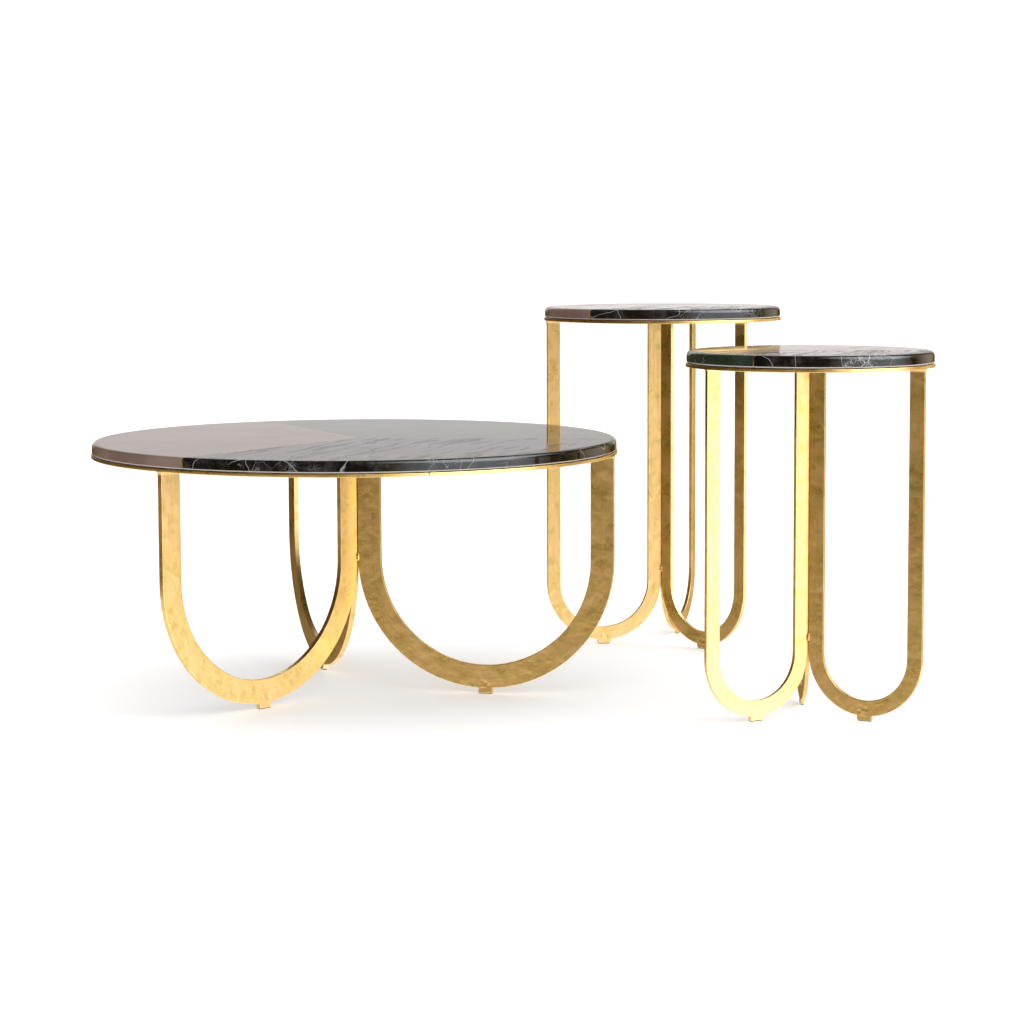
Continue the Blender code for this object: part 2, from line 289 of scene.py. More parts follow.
class Graph:
    """A node tree, wired from small steps."""

    def __init__(self, tree: bpy.types.NodeTree) -> None:
        """Takes the tree that the nodes go into."""
        self.tree = tree

    def add(self, kind: str, inputs: dict[Any, Any] | None = None,
            **settings: Any) -> bpy.types.Node:
        """Adds a node.

        Args:
            kind: the node's type.
            inputs: for each input, a number, a colour, or the socket that feeds it.
            **settings: the node's own options.

        Returns:
            The node.
        """
        node = self.tree.nodes.new(kind)
        for key, value in settings.items():
            setattr(node, key, value)
        for key, value in (inputs or {}).items():
            if isinstance(value, bpy.types.NodeSocket):
                self.tree.links.new(value, node.inputs[key])
            else:
                node.inputs[key].default_value = value
        return node

    def stretched(self, place: bpy.types.NodeSocket, scale: tuple[float, float, float],
                  turn: float = 0.0) -> bpy.types.NodeSocket:
        """Coordinates turned about Z and then scaled along each axis."""
        turned = self.add("ShaderNodeMapping", {"Vector": place, "Rotation": (0.0, 0.0, -turn)})
        return self.add("ShaderNodeMapping", {"Vector": turned.outputs[0],
                                              "Scale": scale}).outputs[0]

    def noise(self, place: bpy.types.NodeSocket, scale: float, detail: float = 3.0,
              rough: float = 0.5) -> bpy.types.NodeSocket:
        """Cloud values around 0.5."""
        return self.add("ShaderNodeTexNoise", {"Vector": place, "Scale": scale, "Detail": detail,
                                               "Roughness": rough}).outputs["Fac"]

    def warped(self, place: bpy.types.NodeSocket, scale: float,
               reach: float) -> bpy.types.NodeSocket:
        """Coordinates pushed about by a cloud.

        Args:
            place: coordinates to push.
            scale: clouds in a metre.
            reach: twice the largest push along each axis.

        Returns:
            The pushed coordinates.
        """
        cloud = self.add("ShaderNodeTexNoise", {"Vector": place, "Scale": scale, "Detail": 4.0})
        push = self.add("ShaderNodeVectorMath", {0: cloud.outputs["Color"],
                                                 1: (-0.5, -0.5, -0.5)}).outputs[0]
        sized = self.add("ShaderNodeVectorMath", {0: push, "Scale": reach}, operation="SCALE")
        return self.add("ShaderNodeVectorMath", {0: place, 1: sized.outputs[0]}).outputs[0]

    def cracks(self, place: bpy.types.NodeSocket, scale: float,
               width: float) -> bpy.types.NodeSocket:
        """1 on the borders of random cells, fading to 0 at `width` of a cell."""
        cells = self.add("ShaderNodeTexVoronoi", {"Vector": place, "Scale": scale},
                         feature="DISTANCE_TO_EDGE")
        return self.fade(cells.outputs["Distance"], width, 0.0)

    def fade(self, value: bpy.types.NodeSocket, low: float, high: float, floor: float = 0.0,
             top: float = 1.0) -> bpy.types.NodeSocket:
        """`floor` to `top`, smoothly, as the value goes from `low` to `high`."""
        step = self.add("ShaderNodeMapRange", {
            "Value": value, "From Min": low, "From Max": high, "To Min": floor, "To Max": top},
            interpolation_type="SMOOTHSTEP")
        return step.outputs[0]

    def math(self, operation: str, first: Any, second: Any = 0.0) -> bpy.types.NodeSocket:
        """One step of arithmetic."""
        return self.add("ShaderNodeMath", {0: first, 1: second}, operation=operation).outputs[0]

    def blend(self, share: Any, low: Any, high: Any) -> bpy.types.NodeSocket:
        """A colour between two others.

        Args:
            share: 0 for the first colour, 1 for the second.
            low: first colour, or the socket that gives it.
            high: second colour, or the socket that gives it.

        Returns:
            The mixed colour.
        """
        mix = self.add("ShaderNodeMix", {0: share}, data_type="RGBA")
        for socket, value in ((mix.inputs[6], low), (mix.inputs[7], high)):
            if isinstance(value, bpy.types.NodeSocket):
                self.tree.links.new(value, socket)
            else:
                socket.default_value = (*value, 1.0)
        return mix.outputs[2]

    def bump(self, height: bpy.types.NodeSocket, depth: float,
             under: bpy.types.NodeSocket | None = None) -> bpy.types.NodeSocket:
        """Relief on top of another relief.

        Args:
            height: shape of the relief, 0 to 1.
            depth: its depth in metres.
            under: normals of the relief under it.

        Returns:
            The normals.
        """
        inputs = {"Height": height, "Distance": depth, "Strength": 1.0}
        if under is not None:
            inputs["Normal"] = under
        return self.add("ShaderNodeBump", inputs).outputs[0]


class Finish(Graph):
    """A new material's node tree."""

    def __init__(self, name: str) -> None:
        """Makes the material.

        Args:
            name: the material's name.
        """
        self.material = bpy.data.materials.new(name)
        self.material.use_nodes = True
        super().__init__(self.material.node_tree)
        self.surface = self.tree.nodes["Principled BSDF"]
        self.place = self.add("ShaderNodeTexCoord").outputs["Object"]

    def run(self) -> bpy.types.NodeSocket:
        """Metres along and across the piece."""
        return self.add("ShaderNodeUVMap", uv_map=RUN_MAP).outputs["UV"]

    def set(self, **inputs: Any) -> None:
        """Sets or feeds the surface shader's sockets.

        Args:
            **inputs: values or sockets, under the inputs' names with underscores for spaces.
        """
        for key, value in inputs.items():
            socket = self.surface.inputs[key.replace("_", " ")]
            if isinstance(value, bpy.types.NodeSocket):
                self.tree.links.new(value, socket)
            else:
                socket.default_value = value


@dataclass(frozen=True)
class SatinBrass:
    """Brushed brass with uneven tone, faint tool marks and a soft sheen.

    Attributes:
        gold: main colour.
        pink: colour of the redder clouds.
        olive: colour of stains and of the brush strokes.
        roughness: least and most.
        dent: depth of the mottled relief in metres.
        stroke: depth of the brush strokes in metres.
    """

    name: str = "satin_brass"
    gold: Colour = (0.87, 0.655, 0.268)
    pink: Colour = (0.88, 0.630, 0.290)
    olive: Colour = (0.67, 0.520, 0.175)
    roughness: tuple[float, float] = (0.27, 0.38)
    dent: float = 0.0004
    stroke: float = 0.00008

    def material(self) -> bpy.types.Material:
        """Builds the nodes.

        Returns:
            The material.
        """
        graph = Finish(self.name)
        tone = graph.noise(graph.place, 22.0, 3.0)
        mottle = graph.noise(graph.place, 60.0, 2.0)
        colour = graph.blend(graph.fade(tone, 0.42, 0.62), self.gold, self.pink)
        colour = graph.blend(graph.fade(mottle, 0.50, 0.75, 0.0, 0.9), colour, self.olive)
        strokes = graph.noise(graph.stretched(graph.run(), (7.0, 260.0, 1.0)), 1.0, 1.5, 0.5)
        colour = graph.blend(graph.fade(strokes, 0.50, 0.75, 0.0, 0.45), colour, self.olive)
        uneven = graph.math("ADD", graph.math("MULTIPLY", tone, 0.6),
                            graph.math("MULTIPLY", mottle, 0.4))
        relief = graph.bump(strokes, self.stroke, graph.bump(mottle, self.dent))
        graph.set(Base_Color=colour, Metallic=1.0, Normal=relief,
                  Roughness=graph.fade(uneven, 0.38, 0.62, *self.roughness))
        return graph.material


@dataclass(frozen=True)
class PolishedStone:
    """Polished stone: a clouded ground with grain, cracks and long veins.

    Attributes:
        ground: main colour.
        cloud: colour of the cloudy areas.
        vein: colour of cracks and veins.
        grain_turn: direction of the grain, from +X.
        grain: how much the grain lightens the ground.
        grain_colour: the colour that it lightens it with.
        crack: strength of the fine network of cracks.
        crack_at: noise values between which the patches with cracks begin.
        long_vein: strength of the few long veins.
        speckle: strength of the finest mottling.
        roughness: of the polish, between and along the grain's streaks.
        arris: pale colour painted on the bottom chamfer, a painted highlight in place of the
            bright floor's reflection.
    """

    name: str
    ground: Colour
    cloud: Colour
    vein: Colour
    grain_turn: float = 0.0
    grain: float = 0.0
    grain_colour: Colour = (0.1, 0.1, 0.1)
    crack: float = 0.0
    crack_at: tuple[float, float] = (0.5, 0.62)
    long_vein: float = 0.0
    speckle: float = 0.15
    roughness: tuple[float, float] = (0.04, 0.13)
    arris: Colour = (0.50, 0.47, 0.45)

    def lines(self, graph: Finish, place: bpy.types.NodeSocket) -> bpy.types.NodeSocket:
        """Cracks and long veins.

        The cracks are the borders of random cells at two sizes, and show only in patches. A
        long vein lies where a slow noise crosses its middle value.

        Args:
            graph: the material's nodes.
            place: the coordinates that the veins follow.

        Returns:
            How much of the vein's colour shows, from 0 to 1.
        """
        fine = graph.warped(graph.place, 45.0, 0.016)
        patch = graph.fade(graph.noise(graph.place, 11.0, 2.0), *self.crack_at)
        thread = graph.math("MULTIPLY", graph.cracks(fine, 30.0, 0.024), patch)
        web = graph.math("MULTIPLY", graph.cracks(fine, 140.0, 0.07), patch)
        web = graph.math("MULTIPLY", web, graph.fade(graph.noise(graph.place, 60.0), 0.48, 0.62))
        ridge = graph.noise(place, 4.2, 3.0, 0.45)
        ridge = graph.math("ABSOLUTE", graph.math("SUBTRACT", ridge, 0.5))
        vein = graph.math("MULTIPLY", graph.fade(ridge, 0.0022, 0.0), self.long_vein)
        cracks = graph.math("MULTIPLY", graph.math("MAXIMUM", thread, web), self.crack)
        return graph.math("MAXIMUM", cracks, vein)

    def material(self) -> bpy.types.Material:
        """Builds the nodes.

        Returns:
            The material.
        """
        graph = Finish(self.name)
        place = graph.warped(graph.place, 9.0, 0.05)
        cloud = graph.noise(place, 9.0, 5.0, 0.55)
        colour = graph.blend(graph.fade(cloud, 0.38, 0.68), self.ground, self.cloud)
        speck = graph.noise(graph.place, 420.0, 2.0)
        shade = graph.fade(speck, 0.35, 0.65, 0.0, self.speckle)
        colour = graph.blend(shade, colour, self.cloud)
        grain = graph.noise(graph.stretched(place, (3.0, 46.0, 46.0), self.grain_turn), 1.0, 5.0,
                            0.62)
        colour = graph.blend(graph.fade(grain, 0.42, 0.72, 0.0, self.grain), colour,
                             self.grain_colour)
        colour = graph.blend(self.lines(graph, place), colour, self.vein)
        # Painted highlight: the bottom chamfer is coloured pale, as if it mirrored the bright
        # floor, and made rougher.
        ground = graph.add("ShaderNodeAttribute", attribute_name=ARRIS_HIGHLIGHT_MASK).outputs["Fac"]
        colour = graph.blend(ground, colour, self.arris)
        gloss = graph.fade(grain, 0.40, 0.66, *self.roughness)
        graph.set(Base_Color=colour, Specular_Tint=(0.84, 0.96, 1.0, 1.0), Specular_IOR_Level=0.65,
                  Roughness=graph.math("ADD", gloss, graph.math("MULTIPLY", ground, 0.5)))
        return graph.material


@dataclass(frozen=True)
class DullFinish:
    """A plain working finish: a near-black backing board, its darkness partly painted shade for
    the gap under the stone, zinc-plated steel or felt.

    Attributes:
        dark: colour in the hollows of the fibre or grain.
        light: colour on top of it.
        metallic: 1 for metal, 0 for the rest.
        roughness: least and most.
        scale: repeats of the pattern in a metre, along each axis.
        relief: depth of the pattern in metres.
    """

    name: str
    dark: Colour
    light: Colour
    metallic: float
    roughness: tuple[float, float]
    scale: tuple[float, float, float]
    relief: float

    def material(self) -> bpy.types.Material:
        """Builds the nodes.

        Returns:
            The material.
        """
        graph = Finish(self.name)
        fibre = graph.noise(graph.stretched(graph.place, self.scale), 1.0, 5.0, 0.6)
        graph.set(Base_Color=graph.blend(graph.fade(fibre, 0.35, 0.65), self.dark, self.light),
                  Metallic=self.metallic,
                  Roughness=graph.fade(fibre, 0.3, 0.7, *self.roughness),
                  Normal=graph.bump(fibre, self.relief))
        return graph.material


@dataclass
class Finishes:
    """Every finish of the set, made once."""

    brass: bpy.types.Material = field(default_factory=lambda: SatinBrass().material())
    # The backing board is a real part; its near-black colour is partly painted shade for the gap
    # between stone and hoop.
    board: bpy.types.Material = field(default_factory=lambda: DullFinish(
        "near_black_board_as_shade", (0.012, 0.010, 0.009), (0.035, 0.028, 0.024), 0.0, (0.55, 0.8),
        (12.0, 140.0, 140.0), 0.0003).material())
    steel: bpy.types.Material = field(default_factory=lambda: DullFinish(
        "zinc_plate", (0.45, 0.45, 0.44), (0.62, 0.62, 0.6), 1.0, (0.25, 0.45),
        (400.0, 400.0, 400.0), 0.00005).material())
    felt: bpy.types.Material = field(default_factory=lambda: DullFinish(
        "dark_felt", (0.02, 0.016, 0.013), (0.06, 0.05, 0.04), 0.0, (0.85, 1.0),
        (1500.0, 1500.0, 300.0), 0.0003).material())
    stones: dict[Stone, bpy.types.Material] = field(default_factory=dict)

    def stone(self, kind: Stone) -> bpy.types.Material:
        """The material of a stone, made when it is first asked for.

        Args:
            kind: which of the three stones.

        Returns:
            The material.
        """
        if kind not in self.stones:
            self.stones[kind] = STONE_FINISHES[kind].material()
        return self.stones[kind]


STONE_FINISHES = {
    Stone.TAUPE: PolishedStone(
        "polished_taupe", ground=(0.148, 0.094, 0.072), cloud=(0.205, 0.143, 0.115),
        vein=(0.36, 0.29, 0.25), grain=0.15, grain_colour=(0.16, 0.11, 0.085),
        grain_turn=math.radians(60), crack=0.08, long_vein=0.10, speckle=0.25),
    Stone.BLACK: PolishedStone(
        "polished_black", ground=(0.0025, 0.0025, 0.003), cloud=(0.007, 0.007, 0.008),
        vein=(0.62, 0.63, 0.62), grain=0.8, grain_colour=(0.040, 0.031, 0.029),
        grain_turn=math.radians(252), crack=0.6, crack_at=(0.52, 0.70), long_vein=0.4,
        speckle=0.2, roughness=(0.05, 0.27)),
    Stone.GREEN: PolishedStone(
        "polished_green", ground=(0.010, 0.015, 0.010), cloud=(0.036, 0.050, 0.036),
        vein=(0.36, 0.42, 0.36), grain=0.35, grain_colour=(0.05, 0.06, 0.045),
        grain_turn=math.radians(30), crack=0.35, long_vein=0.25, speckle=0.4),
}


# ------------------------------------------------------------------ sub-assemblies

@dataclass
class Plan:
    """One table's sizes and place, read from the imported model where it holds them."""

    name: str
    bar_width: float
    bar_thickness: float
    first_loop: float           # direction of the first loop, in degrees from +X
    first_seam: float           # direction of the first seam
    stones: tuple[Stone, Stone, Stone]
    tie_rise: float             # weld between the inner legs, above the bend
    hoop_weld: float            # direction of the hoop's own weld
    arm_width: float            # spider arm
    hub_radius: float           # spider hub
    seed: int

    loop_standoff: ClassVar[float] = 0.8 * MM   # of the inner legs from where they would meet
    leg_inset: ClassVar[float] = 1.0 * MM       # of the outer legs from the hoop's outside
    hoop_proud: ClassVar[float] = 1.5 * MM      # of the hoop from the stone's side
    strip_width: ClassVar[float] = 2.0 * MM

    def __post_init__(self) -> None:
        """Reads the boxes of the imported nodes."""
        low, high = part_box(self.node("hoop"))
        self.centre = np.array([(low.x + high.x) / 2, (low.y + high.y) / 2, 0.0])
        self.hoop_radius = (high.x - low.x) / 2
        self.hoop_bottom, self.hoop_top = low.z, high.z
        self.top_radius = self.hoop_radius - self.hoop_proud
        low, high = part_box(self.node(self.stones[0].value))
        self.stone_bottom, self.top = low.z, high.z
        self.foot_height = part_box(self.node("loop_1"))[0].z
        self.loop_outer = self.hoop_radius - self.leg_inset
        half_pitch = self.bar_thickness / 2 / math.tan(THIRD / 2)
        self.loop_inner = half_pitch + self.loop_standoff
        self.loop_middle = (self.loop_outer + self.loop_inner) / 2
        self.bend_radius = (self.loop_outer - self.loop_inner) / 2
        self.bend_height = self.foot_height + self.bend_radius

    @property
    def body(self) -> str:
        """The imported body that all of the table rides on."""
        return f"{self.name}_table"

    def node(self, ending: str) -> str:
        """Name of one of the table's nodes."""
        return f"{self.name}_{ending}"

    def loop_angle(self, number: int) -> float:
        """Direction of a loop, in radians from +X."""
        return math.radians(self.first_loop) + number * THIRD

    def seam_angle(self, number: int) -> float:
        """Direction of a seam, in radians from +X."""
        return math.radians(self.first_seam) + number * THIRD

    def upright(self, grid: np.ndarray, angle: float) -> np.ndarray:
        """Stands a flat layout up in the table's place.

        Args:
            grid: points as (outwards, height, sideways), shape (..., 3).
            angle: direction of outwards, in radians from +X.

        Returns:
            Points in the shared frame, shape (..., 3).
        """
        out = np.array([math.cos(angle), math.sin(angle), 0.0])
        side = np.array([-math.sin(angle), math.cos(angle), 0.0])
        return (self.centre + grid[..., 0:1] * out + grid[..., 2:3] * side
                + grid[..., 1:2] * np.array([0.0, 0.0, 1.0]))

    def dress(self, piece: bpy.types.Object, material: bpy.types.Material, slot: str,
              *nodes: str) -> None:
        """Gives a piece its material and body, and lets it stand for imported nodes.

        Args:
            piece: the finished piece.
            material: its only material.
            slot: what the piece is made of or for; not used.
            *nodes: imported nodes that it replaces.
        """
        piece.data.materials.clear()
        piece.data.materials.append(material)
        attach(piece, self.body)
        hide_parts(*nodes)
        log.info("%s: %d faces", piece.name, len(piece.data.polygons))


@dataclass
class StoneTop:
    """Three stone sectors with a rounded top edge, and the brass strips in their seams."""

    plan: Plan
    edge_radius: float = 8.0 * MM
    arris: float = 2.0 * MM
    joint: float = 0.05 * MM            # between stone and strip
    edge_steps: int = 12
    around: int = 200                   # facets along a sector's rim

    def profile(self) -> np.ndarray:
        """Radius and height from the middle of the top, round the edge, to the bottom.

        The rounded edge is a quarter circle; one radius beside it keeps the flat top flat.

        Returns:
            Radius and height of each ring, shape (rings, 2).
        """
        turn = np.linspace(math.pi / 2, 0.0, self.edge_steps + 1)
        outer, top, bottom = self.plan.top_radius, self.plan.top, self.plan.stone_bottom
        edge = np.column_stack([outer - self.edge_radius + self.edge_radius * np.cos(turn),
                                top - self.edge_radius + self.edge_radius * np.sin(turn)])
        flat = [[outer * share, top] for share in (0.25, 0.5, 0.75, 0.9)]
        flat.append([outer - self.edge_radius - 0.6 * MM, top])
        side = [[outer, bottom + self.arris + 0.4 * MM], [outer, bottom + self.arris],
                [outer - 0.45 * self.arris, bottom + 0.35 * self.arris],
                [outer - self.arris, bottom], [outer - 2 * self.arris, bottom]]
        return np.concatenate([flat, edge, side, [[outer * 0.5, bottom]]])

    def sector(self, start: float) -> np.ndarray:
        """One stone: ring k has radius r, and runs between the seams less asin(d / r).

        That keeps both cut faces flat, at the distance d from the seam's middle line. The first
        and last rings shrink to the sector's inner corner, at d / sin(60 degrees).

        Args:
            start: direction of the seam that the sector begins at.

        Returns:
            Points, shape (around + 1, rings, 3).
        """
        away = self.plan.strip_width / 2 + self.joint
        profile = self.profile()
        corner = away / math.sin(THIRD / 2)
        ends = np.array([[corner, self.plan.top], [corner, self.plan.stone_bottom]])
        profile = np.concatenate([ends[:1], profile, ends[1:]])
        margin = np.arcsin(away / profile[:, 0])
        share = np.linspace(0.0, 1.0, self.around + 1)[:, None]
        angle = start + margin + share * (THIRD - 2 * margin)
        flat = np.stack([profile[:, 0] * np.cos(angle), profile[:, 0] * np.sin(angle),
                         np.broadcast_to(profile[:, 1], angle.shape)], axis=-1)
        return self.plan.centre + flat

    def strip(self, angle: float) -> np.ndarray:
        """One strip: the stone's profile, as wide as the seam, mitred to the others.

        Sideways it runs from -w / 2 to w / 2, and its inner end lies |sideways| / tan(60)
        from the middle, so that the three strips meet in a star.

        Args:
            angle: direction of the seam.

        Returns:
            Points, shape (3, rings, 3).
        """
        profile = self.profile()
        inner = np.array([[0.0, self.plan.top], [0.0, self.plan.stone_bottom]])
        profile = np.concatenate([inner[:1], profile, inner[1:]])
        side = np.array([-0.5, 0.0, 0.5]) * self.plan.strip_width
        start = np.abs(side) / math.tan(THIRD / 2)
        outwards = np.maximum(profile[None, :, 0], start[:, None])
        grid = np.stack([outwards, np.broadcast_to(profile[:, 1], outwards.shape),
                         np.broadcast_to(side[:, None], outwards.shape)], axis=-1)
        return self.plan.upright(grid, angle)

    def build(self, finishes: Finishes) -> None:
        """Makes and dresses the sectors and the strips.

        Args:
            finishes: the set's finishes.
        """
        plan = self.plan
        for number, stone in enumerate(plan.stones):
            grid = self.sector(plan.seam_angle(number))
            rim = np.arange(grid.shape[0]) * plan.top_radius * THIRD / self.around
            piece = Surface(grid, rim, perimeter(self.profile_loop(grid))).build(
                f"{plan.name}_polished_{stone.name.lower()}", crease=50.0)
            weld_poles(piece)
            self.mark_arris(piece)
            plan.dress(piece, finishes.stone(stone), stone.value, plan.node(stone.value))
        strips = []
        for number in range(3):
            grid = self.strip(plan.seam_angle(number))
            across = perimeter(self.profile_loop(grid))
            strip = Surface(grid, np.arange(3) * plan.strip_width / 2, across).build("strip")
            strips.append(strip)
        piece = merged(f"{plan.name}_seam_inlay", strips)
        plan.dress(piece, finishes.brass, "brass", plan.node("seam_strips"))

    def mark_arris(self, piece: bpy.types.Object) -> None:
        """Writes 1 on the points of the chamfer along the bottom, which gets a pale painted
        highlight, 0 elsewhere.

        Args:
            piece: a stone sector.
        """
        points = np.empty(len(piece.data.vertices) * 3)
        piece.data.vertices.foreach_get("co", points)
        points = points.reshape(-1, 3)
        low = points[:, 2] < self.plan.stone_bottom + self.arris + 0.01 * MM
        out = np.linalg.norm(points[:, :2] - self.plan.centre[:2], axis=1)
        # The chamfer's points, which get the pale painted highlight.
        ground = low & (out > self.plan.top_radius - 1.5 * self.arris)
        layer = piece.data.attributes.new(ARRIS_HIGHLIGHT_MASK, "FLOAT", "POINT")
        layer.data.foreach_set("value", ground.astype(float))

    @staticmethod
    def profile_loop(grid: np.ndarray) -> np.ndarray:
        """The grid's first row, laid out in its own plane.

        Args:
            grid: points, shape (rows, columns, 3).

        Returns:
            Distance from the row's first point, and height, shape (columns, 2).
        """
        row = grid[0]
        out = np.linalg.norm(row[:, :2] - row[0, :2], axis=1)
        return np.column_stack([out, row[:, 2]])


def weld_poles(piece: bpy.types.Object) -> None:
    """Joins the points that fall on one another, as at the tip of a sector.

    Args:
        piece: the piece, changed in place.
    """
    shape = bmesh.new()
    shape.from_mesh(piece.data)
    bmesh.ops.remove_doubles(shape, verts=shape.verts, dist=1e-6)
    shape.to_mesh(piece.data)
    shape.free()


@dataclass
class TopFrame:
    """The brass hoop, the spider inside it, the screws, and the board that they hold."""

    plan: Plan
    hoop_wall: float = 8.0 * MM
    hoop_ease: float = 0.9 * MM
    spider_thickness: float = 2.0 * MM
    around: int = 420                   # facets along the hoop
    pitch: float = 1.6 * MM             # of the points on its flat sides
    weld_half: float = 9.0 * MM         # from the middle of the hoop's weld to its ends
    head: float = 2.2 * MM              # height of a screw head
    cross_depth: float = 1.1 * MM
    cross_reach: float = 0.55           # of the cross, as a share of the head's radius
    cross_half: float = 0.13            # half width of its bars, as a share of it

    def hoop(self) -> Surface:
        """An eased rectangle carried round a circle, with a hand-ground weld in one place.

        The weld sinks the outside by one bell and leaves a lower, wider one beside it. The rest
        of the relief is two scales of smooth noise.

        Returns:
            The closed ring.
        """
        plan = self.plan
        height = plan.hoop_top - plan.hoop_bottom
        section = eased_rectangle(self.hoop_wall, height, self.hoop_ease, self.pitch)
        normals = outline_normals(section)
        weld = math.radians(plan.hoop_weld)
        near = weld + np.linspace(-8.0, 8.0, 41) * MM / plan.hoop_radius
        even = weld + np.linspace(0.0, 2 * math.pi, self.around, endpoint=False)
        clear = np.abs(even - weld) * plan.hoop_radius > self.weld_half
        clear &= np.abs(even - weld - 2 * math.pi) * plan.hoop_radius > self.weld_half
        angle = np.concatenate([near, even[clear]])
        middle = plan.hoop_radius - self.hoop_wall / 2
        out = np.stack([np.cos(angle), np.sin(angle), np.zeros(angle.shape)], axis=-1)
        up = np.array([0.0, 0.0, 1.0])
        mean = (plan.hoop_top + plan.hoop_bottom) / 2
        points = (plan.centre + (middle + section[None, :, 0:1]) * out[:, None]
                  + (mean + section[None, :, 1:2]) * up)
        beside = (angle - weld) * plan.hoop_radius
        ground = 0.15 * MM * bell(beside - 3 * MM, 2.2 * MM) - 0.4 * MM * bell(beside, 1.1 * MM)
        relief = (0.06 * MM * smooth_noise(points, 14 * MM, plan.seed)
                  + 0.05 * MM * smooth_noise(points, 60 * MM, plan.seed + 1)
                  + (ground * (np.abs(beside) < self.weld_half))[:, None])
        direction = normals[None, :, 0:1] * out[:, None] + normals[None, :, 1:2] * up
        along = np.concatenate([angle, [angle[0] + 2 * math.pi]]) * plan.hoop_radius
        return Surface(points + relief[..., None] * direction, along, perimeter(section), True)

    def spider(self) -> Surface:
        """A hub with three arms, one over each loop, cut from plate.

        One third of the outline is an arm's end, its side, and an arc of the hub; the other
        thirds are the same points turned.

        Returns:
            The plate.
        """
        plan = self.plan
        half, hub = plan.arm_width / 2, plan.hub_radius
        reach = plan.hoop_radius - self.hoop_wall - 0.2 * MM
        turn = math.asin(half / hub)
        arc = np.linspace(turn, THIRD - turn, 16)
        arm = np.linspace(reach, hub * math.cos(turn), 30)[:-1]
        third = np.concatenate([
            np.column_stack([np.full(8, reach), np.linspace(-half, half, 8)])[:-1],
            np.column_stack([arm, np.full(arm.shape, half)]),
            hub * np.column_stack([np.cos(arc), np.sin(arc)])])
        back = rotated(np.column_stack([arm[::-1], np.full(arm.shape, -half)]), THIRD)
        third = np.concatenate([third, back])
        outline = np.concatenate([rotated(third, plan.loop_angle(k)) for k in range(3)])
        grid = plate(outline, self.spider_thickness, 0.4 * MM)
        middle = plan.hoop_bottom + self.spider_thickness / 2 + 0.05 * MM
        points = plan.centre + grid + np.array([0.0, 0.0, middle])
        return Surface(points, np.arange(len(grid)) * MM, perimeter(outline))

    def screw(self, node: str) -> Surface:
        """A low domed head seen from below, with a cross pressed into it.

        The head stands out by h (0.45 + 0.55 sqrt(1 - 0.85 p^2)), where p runs from 0 at the
        middle to 1 at the rim, less d s(x, y), where s is 1 inside either bar of the cross and
        falls to 0 over its edge.

        Args:
            node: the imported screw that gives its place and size.

        Returns:
            The head, flat at the back.
        """
        low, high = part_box(node)
        radius = (high.x - low.x) / 2
        centre = np.array([(low.x + high.x) / 2, (low.y + high.y) / 2, 0.0])
        share = np.concatenate([np.linspace(0.001, 0.96, 22), [1.0, 1.0, 0.3]])
        angle = np.linspace(0.0, 2 * math.pi, 64, endpoint=False)
        x = radius * share[:, None] * np.cos(angle)
        y = radius * share[:, None] * np.sin(angle)
        long, short = self.cross_reach * radius, self.cross_half * radius

        def inside(first: np.ndarray, second: np.ndarray) -> np.ndarray:
            """1 inside one bar of the cross."""
            far = np.maximum(np.abs(first) / long, np.abs(second) / short)
            return np.clip((1.25 - far) / 0.25, 0.0, 1.0)

        cross = np.maximum(inside(x, y), inside(y, x))
        dome = self.head * (0.45 + 0.55 * np.sqrt(1 - 0.85 * share**2))
        drop = dome[:, None] - self.cross_depth * cross
        drop[-2:] = 0.0
        points = np.stack([x, y, low.z + self.head - drop], axis=-1) + centre
        return Surface(points, np.arange(len(share)) * MM, np.arange(65) * MM)

    def build(self, finishes: Finishes) -> None:
        """Makes and dresses the hoop, the spider and the screws, and dresses the board.

        Args:
            finishes: the set's finishes.
        """
        plan = self.plan
        plan.dress(self.hoop().build(f"{plan.name}_brass_hoop"), finishes.brass, "brass",
                   plan.node("hoop"))
        plan.dress(self.spider().build(f"{plan.name}_brass_spider"), finishes.brass, "brass",
                   plan.node("spider"))
        for number in (1, 2, 3):
            node = plan.node(f"screw_{number}")
            plan.dress(self.screw(node).build(f"{plan.name}_cross_screw_{number}", 30.0),
                       finishes.steel, "screw_steel", node)
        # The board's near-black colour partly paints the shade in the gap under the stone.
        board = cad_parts[plan.node("backing_board")]
        board.data.materials.clear()
        board.data.materials.append(finishes.board)


